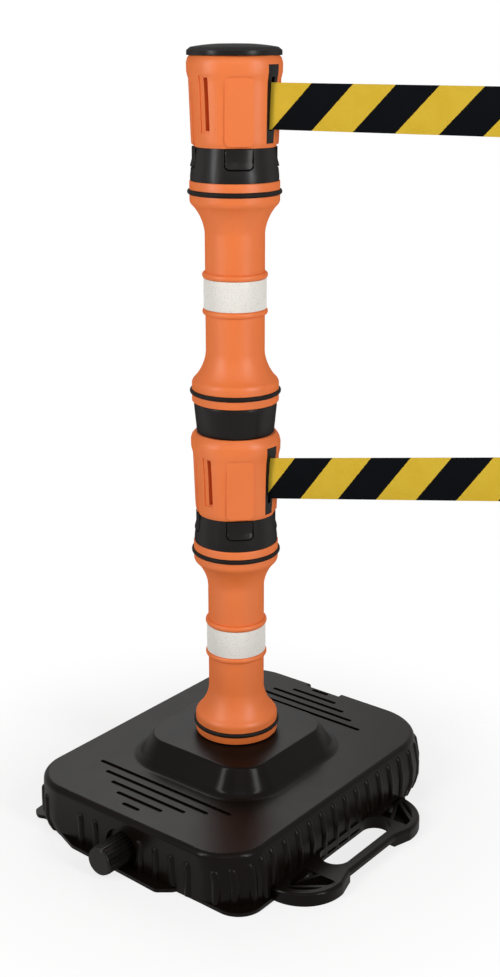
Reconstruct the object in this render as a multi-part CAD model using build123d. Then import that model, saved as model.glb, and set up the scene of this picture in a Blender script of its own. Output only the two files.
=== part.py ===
"""Retractable belt queue pole: two belt units stacked on a ballast base.

Frame: millimetres, +Z up, origin on the floor under the pole's axis.
X runs along the long side of the base.  The filler cap faces -X and the
carry handle and the two belts face -Y.
"""
import os
from math import asin, atan2, degrees, radians, sqrt, tan

from build123d import *

# Ballast base: a blow-moulded tank, rectangular in plan, on a tray
tank_length = 414.0
tank_width = 321.0
tank_height = 66.0
tank_corner = 56.0
tank_far_corner = 74.0
tank_wall = 4.0
plate_wall = 5.5
edge_round = 7.0
# How far the skirt stands out from the plate's edge on each side
skirt_left = -3.0
skirt_right = 4.0
skirt_front = 8.0
skirt_back = 5.0
# height up the skirt as a share of the tank, share of that stand-out, and tuck of the +X and +Y sides
skirt_sections = (
    (0.0, 1.0, 14.0),
    (0.1, 1.0, 6.0),
    (0.25, 1.0, 0.0),
    (0.5, 1.0, 0.0),
    (0.8, 0.5, 0.0),
    (1.0, 0.0, 0.0),
)
# Tray under the tank, whose lip shows along the floor; it ends short of the notch's side
lip_thickness = 4.5
# corners of the lip in plan, and the radius that rounds each of them
lip_outline = (
    ((120.0, -173.5), 0.0), ((-205.0, -173.5), 31.0), ((-204.0, -108.0), 8.0), ((-199.0, -81.0), 8.0),
    ((-208.0, -75.0), 8.0), ((-220.0, -60.0), 8.0), ((-217.0, 0.0), 8.0), ((-214.0, 77.0), 20.0),
    ((-188.0, 147.0), 8.0), ((-192.0, 157.0), 8.0), ((-186.0, 168.0), 8.0), ((-170.0, 170.0), 8.0),
    ((-150.0, 158.0), 8.0), ((120.0, 158.0), 0.0),
)

# Plinth in the middle of the tank, and the well for the post's spigot
plinth_length = 172.0
plinth_width = 166.0
plinth_height = 30.0
plinth_corner = 38.0
plinth_draft = 30.0
plinth_round = 5.0
plinth_blend = 14.0
seat_height = 1.0
seat_radius = 48.0

# Grip grooves in the top plate, shorter towards the edge
groove_count = 5
groove_near_first = -126.0
groove_far_first = 134.0
groove_pitch = 14.2
groove_offset = 9.0
groove_longest = 204.0
groove_step = 44.5
groove_width = 5.5
groove_depth = 2.5

# Notch in the far edge
notch_width = 54.0
notch_depth = 11.0
notch_offset = 9.5

# Carry handle, moulded on the front edge: a bar between two dished ears
handle_offset = -22.5
handle_ear_inner = 58.0
handle_ear_outer = 127.0
handle_ear_reach = 66.0
handle_ear_corner = 52.0
handle_bar_reach = 59.0
handle_bar_width = 12.5
handle_step_length = 24.0
handle_step_round = 16.0
handle_bar_foot = 8.0
handle_height = 15.5
handle_root = 12.0
handle_round = 4.0
gap_offset = -12.5
gap_length = 119.0
gap_ledge = 2.5
# Strap slots, one in each ear
strap_slots = ((-124.5, -183.0), (89.0, -178.0))
strap_slot_length = 22.0
strap_slot_width = 4.5
# Rim and floor of each dish, and the two ribs across it
ear_rim = 9.0
ear_floor = 5.0
ear_rib_width = 4.0
ear_rib_turns = (24.0, 52.0)

# Filler neck and screw cap on the -X side
filler_height = 23.0
filler_offset = 6.0
filler_alcove_radius = 24.0
filler_alcove_depth = 8.0
neck_radius = 10.5
neck_bore_radius = 7.0
neck_length = 32.0
cap_radius = 16.5
cap_wall = 4.0
cap_crown = 8.0
cap_foot_gap = 0.4
cap_ribs = 24
cap_rib_radius = 0.9
seal_thickness = 2.0
thread_clearance = 0.3

# Post section: flanged at both ends, with a reflective band at mid length
post_length = 247.0
flange_radius = 49.7
flange_height = 24.0
waist_radius = 33.4
flare_height = 38.0
post_wall = 3.4
flange_wall = 6.0
flange_round = 7.0
end_wall = 4.0
band_height = 34.0
band_thickness = 1.3
band_seat_depth = 0.5
bead_height = 7.0
bead_out = 3.3
ring_offset = 12.0
ring_major = 49.3
ring_minor = 2.8
ring_clearance = 0.1
spigot_radius = 28.0
spigot_wall = 4.0
spigot_length = 32.0
socket_wall = 3.5

# Black collar that plugs into a post head and carries a belt unit
collar_height = 36.0
collar_top_radius = 45.2
collar_foot_radius = 48.7
collar_foot_height = 5.0
collar_plug_radius = 29.9
collar_plug_length = 30.0
collar_plug_wall = 4.0
collar_cup_radius = 34.3
collar_cup_floor = 12.0
collar_web = 4.0

# Press tabs in the collar, one under each face of the unit
tab_count = 4
tab_radius = 46.6
tab_thickness = 3.4
tab_half_width = 15.0
tab_height = 20.5
tab_corner = 5.0
tab_top_gap = 0.5
tab_side_gap = 1.2
tab_foot_gap = 1.8
tab_lip_out = 1.8
tab_lip_height = 1.5
tab_ramp_height = 8.0
tab_pin_apothem = 40.5
tab_pin_radius = 1.3
tab_pin_drop = 3.0
tab_pin_half_length = 17.2
tab_pin_clearance = 0.1
tab_pin_end_gap = 0.3
tab_pocket_radius = 37.4

# Belt unit: a tapered cup, square with round corners in plan
unit_height = 96.0
unit_wall = 3.0
unit_floor = 4.0
unit_turn = 45.0
# height above the unit's foot, half width across the faces, reach of the corners
unit_sections = (
    (0.0, 44.0, 47.0),
    (4.0, 45.4, 48.8),
    (50.0, 47.2, 50.8),
    (67.0, 48.4, 51.9),
    (77.0, 51.0, 53.6),
    (86.0, 51.2, 53.8),
    (91.0, 50.0, 52.2),
    (96.0, 46.2, 47.2),
)
unit_spigot_radius = 34.0
unit_spigot_length = 22.0
unit_spigot_seat = 2.0
unit_boss_count = 4
unit_boss_radius = 4.0
unit_boss_place = 41.5
# Flat panel on each face, from under the crown down to the foot
panel_width = 31.0
panel_corner = 6.0
panel_foot = 2.0
panel_top = 73.0
panel_foot_half = 46.2
panel_top_half = 48.6

# Receiver slots for the belt clips of other poles
receiver_angles = (0.0, 90.0, 180.0)
receiver_width = 4.8
receiver_offset = 2.4
receiver_height = 54.0
receiver_depth = 9.0
receiver_wall = 2.5
receiver_panel_width = 12.0
receiver_panel_margin = 2.0
receiver_panel_depth = 1.2

# Belt exit, on the -Y corner
belt_side = -90.0
bezel_foot_width = 12.0
bezel_top_width = 17.0
bezel_height = 80.5
bezel_foot = 4.5
bezel_depth = 8.0
bezel_gap = 0.1
slit_width = 5.0
slit_height = 55.0

# Belt, its roll and the clip on its end
belt_width = 48.0
belt_thickness = 1.0
belt_middle = 45.0
belt_turn = 12.0
belt_rise = {"lower": 7.8, "upper": 0.0}
belt_lift = {"lower": 1.2, "upper": -2.2}
belt_stretch = {"lower": 325.0, "upper": 325.0}
belt_bend_radius = 41.0
belt_bend_offset = -1.6
belt_roll_gap = 0.5
clip_height = 58.0
clip_length = 24.0
clip_thickness = 11.0
clip_nose_length = 8.0
clip_nose_slack = 0.5
clip_nose_margin = 2.0
clip_round = 2.7
clip_gap = 0.3
roll_inner_clearance = 0.2
roll_radius = 34.0

# Spool, spindle and spring motor
spindle_radius = 4.0
spindle_clearance = 0.08
spindle_seat_clearance = 0.03
spool_hub_radius = 10.0
spool_flange_radius = 35.5
spool_flange_thickness = 2.0
spool_belt_gap = 3.0
spool_end_gap = 0.4
drum_radius = 31.0
drum_wall = 2.0
drum_height = 9.0
drum_cover_thickness = 2.0
spring_turns = 7
spring_start_gap = 0.4
spring_pitch = 3.2
spring_strip = 0.8
spring_end_gap = 0.5

# Bearing bridge over the spool, and its screws
bridge_radius = 44.0
bridge_thickness = 3.0
screw_radius = 2.0
screw_clearance = 0.2
screw_length = 10.0
screw_head_radius = 3.6
screw_head_height = 2.4
screw_recess = 1.1

# Closures: the adaptor on the lower unit and the lid on the upper one
register_radius = 42.3
register_width = 3.3
register_depth = 5.0
adaptor_height = 36.0
adaptor_top_radius = 47.5
adaptor_rim_height = 5.0
adaptor_foot_radius = 44.4
adaptor_wall = 3.6
lid_height = 9.6
lid_radius = 51.2
lid_rim_height = 2.6
lid_rim_drop = 2.2
lid_rim_wall = 1.4
lid_wall = 2.5

# Fits between pieces that come apart
fit_clearance = 0.3
seat_gap = 0.3
# How far from a level an edge may lie and still count as on it
level_tolerance = 0.01

# Heights of the stack above the floor
seat_top = tank_height + plinth_height + seat_height
lower_post_foot = seat_top + seat_gap
lower_collar_foot = lower_post_foot + post_length
lower_unit_foot = lower_collar_foot + collar_height + seat_gap
adaptor_foot = lower_unit_foot + unit_height
upper_post_foot = adaptor_foot + adaptor_height + seat_gap
upper_collar_foot = upper_post_foot + post_length
upper_unit_foot = upper_collar_foot + collar_height + seat_gap
lid_foot = upper_unit_foot + unit_height

# Heights inside a unit, above its foot
spool_foot = belt_middle - belt_width / 2 - spool_belt_gap - spool_flange_thickness
spool_top = belt_middle + belt_width / 2 + spool_belt_gap + spool_flange_thickness
drum_top = spool_top + drum_height
bridge_foot = drum_top + drum_cover_thickness + spool_end_gap

UP = (Align.CENTER, Align.CENTER, Align.MIN)


def disc(radius, low, high):
    """Round bar on the pole's axis between two heights."""
    return Pos(0, 0, low) * Cylinder(radius, high - low, align=UP)


def hollow_disc(outer, inner, low, high):
    return disc(outer, low, high) - disc(inner, low, high)


def turned(points):
    """Solid of revolution about Z from (radius, height) corners."""
    outline = Polyline(*[(r, 0, z) for r, z in points], close=True)
    return revolve(make_face(outline), axis=Axis.Z)


def slab(length, width, corner, low, high, draft=0.0):
    """Rectangular block with round corners, drawn in by the draft angle."""
    base = Pos(0, 0, low) * RectangleRounded(length, width, corner)
    return extrude(base, high - low, taper=draft)


def spokes(count, first, piece):
    """Copies of a piece that faces +X, turned about Z."""
    return [Rot(0, 0, first + i * 360.0 / count) * piece for i in range(count)]


def handle_plan(inset):
    """Plan of the handle with both its ears, drawn in by the inset."""
    root = tank_width / 2 - handle_root
    edge = tank_width / 2 + handle_ear_reach - inset
    plan = Pos(handle_offset, -(root + edge) / 2) * Rectangle(2 * (handle_ear_outer - inset), edge - root)
    return fillet(plan.vertices().group_by(Axis.Y)[0], handle_ear_corner - inset)


def make_handle():
    """Bar between two ears on the front edge, clear of the floor between them."""
    bar_edge = tank_width / 2 + handle_bar_reach
    ear_edge = tank_width / 2 + handle_ear_reach
    bar_half = handle_ear_inner - handle_step_length / 2
    mouth_half = bar_half + 2 * handle_step_length
    mouth_edge = 2 * ear_edge - bar_edge
    relief = make_face(Polyline(
        (handle_offset - bar_half, -bar_edge), (handle_offset + bar_half, -bar_edge),
        (handle_offset + mouth_half, -mouth_edge), (handle_offset - mouth_half, -mouth_edge), close=True))
    plan = handle_plan(0.0) - relief
    steps = [corner for corner in plan.vertices()
             if abs(corner.X - handle_offset) < handle_ear_inner + handle_step_length
             and corner.Y < -(bar_edge - handle_bar_width)]
    handle = extrude(fillet(steps, handle_step_round), handle_height)
    top_edges = handle.edges().filter_by(Axis.Z, reverse=True).group_by(Axis.Z)[-1]
    handle = fillet(top_edges, handle_round)
    reach = handle_bar_reach - skirt_front
    under_bar = Pos(handle_offset, -bar_edge + reach / 2, 0) * Box(
        2 * bar_half, reach + handle_bar_foot, handle_bar_foot, align=UP)
    return handle - under_bar


def handle_gap():
    """Finger gap between the bar and the skirt, and a strap slot in each ear."""
    near = tank_width / 2 + skirt_front + gap_ledge
    far = tank_width / 2 + handle_bar_reach - handle_bar_width
    gap = Pos(gap_offset, -(near + far) / 2) * SlotOverall(gap_length, far - near)
    cut = extrude(gap, 2 * handle_height, both=True)
    for x, y in strap_slots:
        slot = Pos(x, y) * SlotOverall(strap_slot_length, strap_slot_width)
        cut += extrude(slot, 2 * handle_height, both=True)
    return cut


def ear_dishes():
    """Dish in each ear, between its rim and ribs, down to its floor."""
    near = tank_width / 2 + skirt_front + ear_rim
    inner = gap_offset - handle_offset + gap_length / 2 + ear_rim / 2
    outer = handle_ear_outer - ear_rim
    window = Pos(inner + handle_ear_outer / 2, -near - handle_ear_reach / 2) * Rectangle(
        handle_ear_outer, handle_ear_reach)
    dish = (Pos(-handle_offset, 0) * handle_plan(ear_rim)) & window
    for turn in ear_rib_turns:
        dish -= Pos(outer, -near) * Rot(0, 0, turn) * Rectangle(4 * handle_ear_reach, ear_rib_width)
    block = Pos(0, 0, ear_floor) * extrude(dish, handle_height)
    return Pos(handle_offset, 0, 0) * (block + mirror(block, about=Plane.YZ))


def tank_plan(height, stand_out, tuck, inset):
    """Plan of the tank at a height, by its share of the skirt's stand-out."""
    left, right, front, back = [
        stand_out * side - inset for side in (skirt_left, skirt_right, skirt_front, skirt_back)]
    right -= tuck
    back -= tuck
    plan = Rectangle(tank_length + left + right, tank_width + front + back)
    plan = fillet(plan.vertices().group_by(Axis.X)[-1], tank_far_corner - inset)
    plan = fillet(plan.vertices().group_by(Axis.X)[0], tank_corner - inset)
    return Pos((right - left) / 2, (back - front) / 2, height) * plan


def tank_block(low, high, inset):
    plans = [tank_plan(low + share * (high - low), stand_out, tuck, inset)
             for share, stand_out, tuck in skirt_sections]
    return loft(plans, ruled=True)


def tray_plate():
    """Flat plate of the tray, with its lip."""
    outline = make_face(Polyline(*[corner for corner, _ in lip_outline], close=True))
    for corner, rounding in lip_outline:
        if rounding:
            outline = fillet(outline.vertices().sort_by_distance(corner)[0], rounding)
    return extrude(outline, lip_thickness)


def side_rod(radius, length, face):
    """Round bar on the filler's axis, standing out to -X from a face."""
    return Pos(face, filler_offset, filler_height) * Rot(0, -90, 0) * Cylinder(radius, length, align=UP)


def make_tray():
    """Tray that the tank stands in, with the carry handle on its front edge."""
    handle = make_handle() - ear_dishes() - tank_block(0, tank_height, 0.0)
    return tray_plate() + handle - handle_gap()


def make_tank():
    body = tank_block(0, tank_height, 0.0)
    body = fillet(body.faces().sort_by(Axis.Z)[-1].edges(), edge_round)
    spread = plinth_height * tan(radians(plinth_draft))
    plinth = slab(plinth_length + 2 * spread, plinth_width + 2 * spread, plinth_corner + spread,
                  tank_height, tank_height + plinth_height, plinth_draft)
    plinth = fillet(plinth.faces().sort_by(Axis.Z)[-1].edges(), plinth_round)
    body += plinth
    foot_reach = plinth_length / 2 + spread + plinth_round
    plate_edges = body.edges().filter_by_position(
        Axis.Z, tank_height - level_tolerance, tank_height + level_tolerance)
    plinth_foot = [edge for edge in plate_edges
                   if abs(edge.center().X) < foot_reach and abs(edge.center().Y) < foot_reach]
    body = fillet(plinth_foot, plinth_blend)
    seat = disc(seat_radius, tank_height, seat_top)
    tank = body + seat

    ceiling = tank_height - plate_wall
    cavity = tank_block(lip_thickness + tank_wall, ceiling, tank_wall)
    cavity += slab(plinth_length - 2 * plate_wall, plinth_width - 2 * plate_wall,
                   plinth_corner - plate_wall, ceiling, tank_height + plinth_height - plate_wall)
    well_floor = seat_top - spigot_length - end_wall
    socket = spigot_radius + fit_clearance
    cavity -= disc(socket + socket_wall, well_floor - end_wall, seat_top)
    notch_middle = tank_length - notch_depth
    notch = Pos(notch_middle, notch_offset, 0) * Box(tank_length, notch_width, 3 * tank_height)
    cavity -= Pos(notch_middle - tank_wall, notch_offset, 0) * Box(
        tank_length, notch_width + 2 * tank_wall, 3 * tank_height)
    alcove_face = -tank_length / 2 + filler_alcove_depth
    cavity -= side_rod(filler_alcove_radius + tank_wall, tank_length, alcove_face + tank_wall)
    tank -= side_rod(filler_alcove_radius, tank_length, alcove_face)
    tank -= cavity
    tank -= tray_plate()

    tank -= disc(socket, well_floor, seat_top)
    tank -= notch
    tank += side_rod(neck_radius, neck_length, alcove_face)
    tank -= side_rod(neck_bore_radius, tank_length, alcove_face + 2 * tank_wall)
    for first, step in ((groove_near_first, -groove_pitch), (groove_far_first, groove_pitch)):
        for i in range(groove_count):
            place = Pos(first + i * step, groove_offset, tank_height - groove_depth)
            groove = SlotOverall(groove_longest - i * groove_step, groove_width, rotation=90)
            tank -= place * extrude(groove, 2 * groove_depth)
    return tank


def make_filler_cap():
    """Screw cap that closes over the neck, with grip ribs round its rim."""
    hollow = neck_length + seal_thickness + thread_clearance - cap_foot_gap
    length = hollow + cap_crown
    cap = Cylinder(cap_radius, length, align=UP)
    cap = fillet(cap.faces().sort_by(Axis.Z)[-1].edges(), cap_wall / 2)
    rib = Pos(cap_radius, 0, 0) * Cylinder(cap_rib_radius, length - cap_wall, align=UP)
    for copy in spokes(cap_ribs, 0.0, rib):
        cap += copy
    cap -= Cylinder(neck_radius + thread_clearance, hollow, align=UP)
    face = -tank_length / 2 + filler_alcove_depth - cap_foot_gap
    return Pos(face, filler_offset, filler_height) * Rot(0, -90, 0) * cap


def make_filler_seal():
    """Flat seal inside the cap, on the mouth of the neck."""
    mouth = -tank_length / 2 + filler_alcove_depth - neck_length
    return side_rod(neck_radius, seal_thickness, mouth - thread_clearance / 2)


def post_outline(flange, flange_end, waist, foot, head):
    """Half outline of a post between its foot and head, as a closed face."""
    low = foot + flange_end
    high = head - flange_end
    lines = [
        Line((0, 0, foot), (flange, 0, foot)),
        Line((flange, 0, foot), (flange, 0, low)),
        TangentArc((waist, 0, low + flare_height), (flange, 0, low), tangent=(0, 0, -1)),
        Line((waist, 0, low + flare_height), (waist, 0, high - flare_height)),
        TangentArc((waist, 0, high - flare_height), (flange, 0, high), tangent=(0, 0, 1)),
        Line((flange, 0, high), (flange, 0, head)),
        Line((flange, 0, head), (0, 0, head)),
        Line((0, 0, head), (0, 0, foot)),
    ]
    return make_face(lines)


def make_post(foot):
    middle = post_length / 2
    post = revolve(post_outline(flange_radius, flange_height, waist_radius, 0, post_length), axis=Axis.Z)
    shoulders = [edge for edge in post.edges().filter_by(GeomType.CIRCLE)
                 if edge.radius > (flange_radius + waist_radius) / 2
                 and ring_offset < edge.center().Z < post_length - ring_offset]
    post = fillet(shoulders, flange_round)
    hollow = revolve(post_outline(flange_radius - flange_wall, flange_height - end_wall,
                                  waist_radius - post_wall, end_wall, post_length - end_wall), axis=Axis.Z)
    band_seat = waist_radius + band_seat_depth
    bead = band_height / 2 + bead_height / 2
    bead_radius = (bead_height ** 2 / 4 + bead_out ** 2) / (2 * bead_out)
    for side in (-1, 1):
        post += Pos(0, 0, middle + side * bead) * (
            Torus(waist_radius + bead_out - bead_radius, bead_radius)
            - Cylinder(waist_radius - post_wall / 2, 4 * bead_radius))
    post -= hollow_disc(2 * waist_radius, band_seat, middle - band_height / 2, middle + band_height / 2)
    post += disc(band_seat, middle - band_height / 2, middle + band_height / 2)
    post -= hollow
    post -= disc(collar_plug_radius + ring_clearance, post_length - end_wall, post_length)
    post += hollow_disc(spigot_radius, spigot_radius - spigot_wall, -spigot_length, 0)
    for height in (ring_offset, post_length - ring_offset):
        post -= Pos(0, 0, height) * Torus(ring_major, ring_minor + ring_clearance)
    return Pos(0, 0, foot) * post


def make_band(foot):
    middle = foot + post_length / 2
    inner = waist_radius + band_seat_depth + ring_clearance
    return hollow_disc(inner + band_thickness, inner, middle - band_height / 2 + ring_clearance,
                       middle + band_height / 2 - ring_clearance)


def make_ring(height):
    return Pos(0, 0, height) * Torus(ring_major, ring_minor)


def wedge(outline, half_angle):
    """Outline turned about Z by an angle each way from +X."""
    return Rot(0, 0, -half_angle) * revolve(make_face(outline), axis=Axis.Z, revolution_arc=2 * half_angle)


def sector(outer, inner, half_angle, low, high):
    """Part of a ring, facing +X."""
    outline = Polyline((inner, 0, low), (outer, 0, low), (outer, 0, high), (inner, 0, high), close=True)
    return wedge(outline, half_angle)


def half_angle_of(half_width):
    return degrees(half_width / tab_radius)


def tab_window(side_gap, foot_gap):
    """Prism through a tab, facing +X, with the tab's outline and its round lower corners."""
    outline = RectangleRounded(
        2 * (tab_height + foot_gap), 2 * (tab_half_width + side_gap), tab_corner + side_gap)
    return Pos(0, 0, collar_height - tab_top_gap) * Rot(0, 90, 0) * extrude(outline, 2 * tab_radius)


def make_collar(foot):
    collar = turned([
        (collar_plug_radius - collar_plug_wall, -collar_plug_length),
        (collar_plug_radius, -collar_plug_length),
        (collar_plug_radius, 0),
        (collar_foot_radius, 0),
        (collar_foot_radius, collar_foot_height),
        (collar_top_radius, collar_height),
        (collar_cup_radius, collar_height),
        (collar_cup_radius, collar_cup_floor),
        (0, collar_cup_floor),
        (0, collar_cup_floor - collar_web),
        (collar_plug_radius - collar_plug_wall, collar_cup_floor - collar_web),
    ])
    pocket_foot = collar_height - tab_top_gap - tab_height - tab_foot_gap
    pocket = sector(2 * tab_radius, tab_pocket_radius, half_angle_of(tab_half_width + tab_side_gap),
                    pocket_foot, 2 * collar_height) & tab_window(tab_side_gap, tab_foot_gap)
    pin_height = collar_height - tab_top_gap - tab_pin_drop
    pin_hole = Pos(tab_pin_apothem, 0, pin_height) * Rot(90, 0, 0) * Cylinder(
        tab_pin_radius + tab_pin_clearance, 2 * (tab_pin_half_length + tab_pin_end_gap))
    for cut in spokes(tab_count, unit_turn, pocket + pin_hole):
        collar -= cut
    return Pos(0, 0, foot) * collar


def make_tab(foot, index):
    """Press tab that rocks on a cross pin near its top."""
    half_angle = half_angle_of(tab_half_width)
    top = collar_height - tab_top_gap
    low = top - tab_height
    outline = Polyline(
        (tab_radius - tab_thickness, 0, low),
        (tab_radius + tab_lip_out, 0, low),
        (tab_radius + tab_lip_out, 0, low + tab_lip_height),
        (tab_radius, 0, low + tab_ramp_height),
        (tab_radius, 0, top),
        (tab_radius - tab_thickness, 0, top), close=True)
    tab = wedge(outline, half_angle) & tab_window(0.0, 0.0)
    pin_height = top - tab_pin_drop
    rib_half = tab_pin_radius
    tab += sector(tab_radius - tab_thickness, tab_pin_apothem, half_angle,
                  pin_height - rib_half, pin_height + rib_half)
    tab += Pos(tab_pin_apothem, 0, pin_height) * Rot(90, 0, 0) * Cylinder(
        tab_pin_radius, 2 * tab_pin_half_length)
    turn = unit_turn + index * 360.0 / tab_count
    return Pos(0, 0, foot) * Rot(0, 0, turn) * tab


def unit_plan(height, half_width, corner_reach):
    """Plan of a unit: a square whose corners face X and Y, well rounded."""
    corner = (half_width * sqrt(2) - corner_reach) / (sqrt(2) - 1)
    return Pos(0, 0, height) * RectangleRounded(2 * half_width, 2 * half_width, corner, rotation=unit_turn)


def unit_solid(inset, low):
    """Loft of the unit's plans, drawn in by the inset, from the height low up."""
    first_half, first_reach = unit_sections[0][1:]
    plans = [unit_plan(low, first_half - inset, first_reach - inset)]
    plans += [unit_plan(height, half - inset, reach - inset)
              for height, half, reach in unit_sections[1:] if height > low]
    return loft(plans, ruled=True)


def corner_block(foot_width, top_width, height, foot, inner, outer):
    """Upright block that crosses a corner of the unit, facing +X."""
    outline = Polyline(
        (inner, -foot_width / 2, foot),
        (inner, foot_width / 2, foot),
        (inner, top_width / 2, foot + height),
        (inner, -top_width / 2, foot + height),
        close=True)
    return extrude(make_face(outline), amount=outer - inner, dir=(1, 0, 0))


def face_panel():
    """Prism through one face, facing +X, with the outline of its panel."""
    height = panel_top - panel_foot
    outline = RectangleRounded(height, panel_width, panel_corner)
    inner = unit_sections[0][1] - unit_wall
    return Pos(inner, 0, panel_foot + height / 2) * Rot(0, 90, 0) * extrude(outline, unit_sections[0][1])


def panel_core():
    """Square pyramid whose four sides are the outer faces of the panels."""
    low = Pos(0, 0, panel_foot) * Rectangle(2 * panel_foot_half, 2 * panel_foot_half)
    high = Pos(0, 0, panel_top) * Rectangle(2 * panel_top_half, 2 * panel_top_half)
    return loft([low, high], ruled=True)


def unit_spigot():
    """Ring under a unit that fits its collar, with its head in a groove of the unit's floor."""
    return hollow_disc(unit_spigot_radius, unit_spigot_radius - unit_wall,
                       -unit_spigot_length, unit_spigot_seat)


def make_spigot(foot):
    return Pos(0, 0, foot) * unit_spigot()


def make_housing(foot):
    outer = unit_solid(0.0, 0.0)
    inner = unit_solid(unit_wall, unit_floor)
    for panel in spokes(unit_boss_count, unit_turn, face_panel()):
        core = Rot(0, 0, unit_turn) * panel_core()
        outer -= panel - core
        outer += panel & core
    housing = outer - inner
    boss = Pos(unit_boss_place, 0, 0) * Cylinder(unit_boss_radius, bridge_foot, align=UP)
    for copy in spokes(unit_boss_count, unit_turn, boss):
        housing += copy & outer
    housing += disc(spool_hub_radius, 0, spool_foot - spool_end_gap)

    reach = unit_sections[2][2]
    low = belt_middle - receiver_height / 2
    pocket_floor = reach - receiver_depth
    block_width = receiver_width + 2 * receiver_wall
    block = Pos(0, receiver_offset, 0) * corner_block(
        block_width, block_width, receiver_height + 2 * receiver_wall,
        low - receiver_wall, pocket_floor - receiver_wall, reach)
    slot = Pos(0, receiver_offset, 0) * corner_block(
        receiver_width, receiver_width, receiver_height, low, pocket_floor, 2 * reach)
    recess = corner_block(
        receiver_panel_width, receiver_panel_width, receiver_height + 2 * receiver_panel_margin,
        low - receiver_panel_margin, pocket_floor, 2 * reach) - unit_solid(receiver_panel_depth, 0.0)
    for angle in receiver_angles:
        housing += Rot(0, 0, angle) * block & outer
        housing -= Rot(0, 0, angle) * (slot + recess)
    window = corner_block(
        bezel_foot_width + 2 * bezel_gap, bezel_top_width + 2 * bezel_gap, bezel_height + 2 * bezel_gap,
        bezel_foot - bezel_gap, reach - bezel_depth, 2 * reach)
    housing -= Rot(0, 0, belt_side) * window
    housing -= unit_spigot()
    housing -= disc(spindle_radius + spindle_seat_clearance, 0, spool_foot)
    screw_hole = disc(screw_radius, bridge_foot - screw_length, bridge_foot)
    for hole in spokes(unit_boss_count, unit_turn, Pos(unit_boss_place, 0, 0) * screw_hole):
        housing -= hole
    return Pos(0, 0, foot) * housing


def make_bezel(foot):
    reach = unit_sections[2][2]
    block = corner_block(bezel_foot_width, bezel_top_width, bezel_height, bezel_foot,
                         reach - bezel_depth, 2 * reach)
    slit = corner_block(slit_width, slit_width, slit_height, belt_middle - slit_height / 2, 0, 3 * reach)
    bezel = (Rot(0, 0, belt_side) * (block - slit)) & unit_solid(0.0, 0.0)
    return Pos(0, 0, foot) * bezel


def make_spindle(foot):
    return disc(spindle_radius, foot, foot + bridge_foot + bridge_thickness)


def make_spool(foot):
    bore = spindle_radius + spindle_clearance
    spool = disc(spool_hub_radius, spool_foot, spool_top)
    spool += disc(spool_flange_radius, spool_foot, spool_foot + spool_flange_thickness)
    spool += disc(spool_flange_radius, spool_top - spool_flange_thickness, spool_top)
    spool += hollow_disc(drum_radius, drum_radius - drum_wall, spool_top, drum_top)
    spool -= disc(bore, 0, drum_top)
    return Pos(0, 0, foot) * spool


def make_drum_cover(foot):
    return Pos(0, 0, foot) * hollow_disc(drum_radius, spindle_radius + spindle_clearance,
                                         drum_top, drum_top + drum_cover_thickness)


def make_power_spring(foot):
    """Flat spiral strip, drawn as half turns about two centres."""
    low = spool_top + spring_end_gap
    high = drum_top - spring_end_gap
    growth = spring_pitch / 2
    start = spindle_radius + spring_start_gap
    arcs = []
    for i in range(2 * spring_turns):
        radius = start + i * growth
        centre = growth * (i % 2)
        ring = Cylinder(radius + spring_strip, high - low, align=UP)
        ring -= Cylinder(radius, high - low, align=UP)
        side = 1 - 2 * (i % 2)
        half = Pos(0, side * 2 * drum_radius, 0) * Box(
            4 * drum_radius, 4 * drum_radius, high - low, align=UP)
        arcs.append(Pos(centre, 0, low) * (ring & half))
    spring = arcs[0]
    for arc in arcs[1:]:
        spring += arc
    return Pos(0, 0, foot) * spring


def make_belt_roll(name, foot):
    middle = foot + belt_middle + belt_lift[name]
    return hollow_disc(roll_radius, spool_hub_radius + roll_inner_clearance,
                       middle - belt_width / 2, middle + belt_width / 2)


def belt_bend(name, foot):
    """Point on the belt's middle line where it bends behind its slit."""
    return Pos(belt_bend_offset, -belt_bend_radius, foot + belt_middle + belt_lift[name])


def belt_frame(name, foot):
    """Place of the bend, with +X along the belt outside."""
    return belt_bend(name, foot) * Rot(0, 0, belt_side + belt_turn) * Rot(0, -belt_rise[name], 0)


def make_belt(name, foot):
    """Strip from the roll to the bend, and on to the back of the clip."""
    length = belt_stretch[name] - clip_gap
    outside = Pos(length / 2, 0, 0) * Box(length, belt_thickness, belt_width)
    bend_reach = sqrt(belt_bend_radius ** 2 + belt_bend_offset ** 2)
    run_radius = roll_radius + belt_roll_gap + belt_thickness / 2
    run = sqrt(bend_reach ** 2 - run_radius ** 2)
    towards_axis = degrees(atan2(belt_bend_radius, -belt_bend_offset))
    run_angle = towards_axis + degrees(asin(run_radius / bend_reach))
    inside = belt_bend(name, foot) * Rot(0, 0, run_angle) * (
        Pos(run / 2, 0, 0) * Box(run, belt_thickness, belt_width))
    return belt_frame(name, foot) * outside + inside


def make_belt_clip(name, foot):
    """Grip on the belt's end, with the nose that snaps into a receiver."""
    body = Pos(clip_length / 2, 0, 0) * Box(clip_length, clip_thickness, clip_height)
    body = fillet(body.edges(), clip_round)
    nose = Pos(clip_length + clip_nose_length / 2, 0, 0) * Box(
        clip_nose_length, receiver_width - 2 * clip_nose_slack, receiver_height - 2 * clip_nose_margin)
    return belt_frame(name, foot) * Pos(belt_stretch[name], 0, 0) * (body + nose)


def make_bridge(foot):
    bridge = disc(bridge_radius, bridge_foot, bridge_foot + bridge_thickness)
    bridge -= disc(spindle_radius + spindle_seat_clearance, bridge_foot, bridge_foot + bridge_thickness)
    hole = Pos(unit_boss_place, 0, 0) * disc(
        screw_radius + screw_clearance, bridge_foot, bridge_foot + bridge_thickness)
    for copy in spokes(unit_boss_count, unit_turn, hole):
        bridge -= copy
    return Pos(0, 0, foot) * bridge


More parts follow.
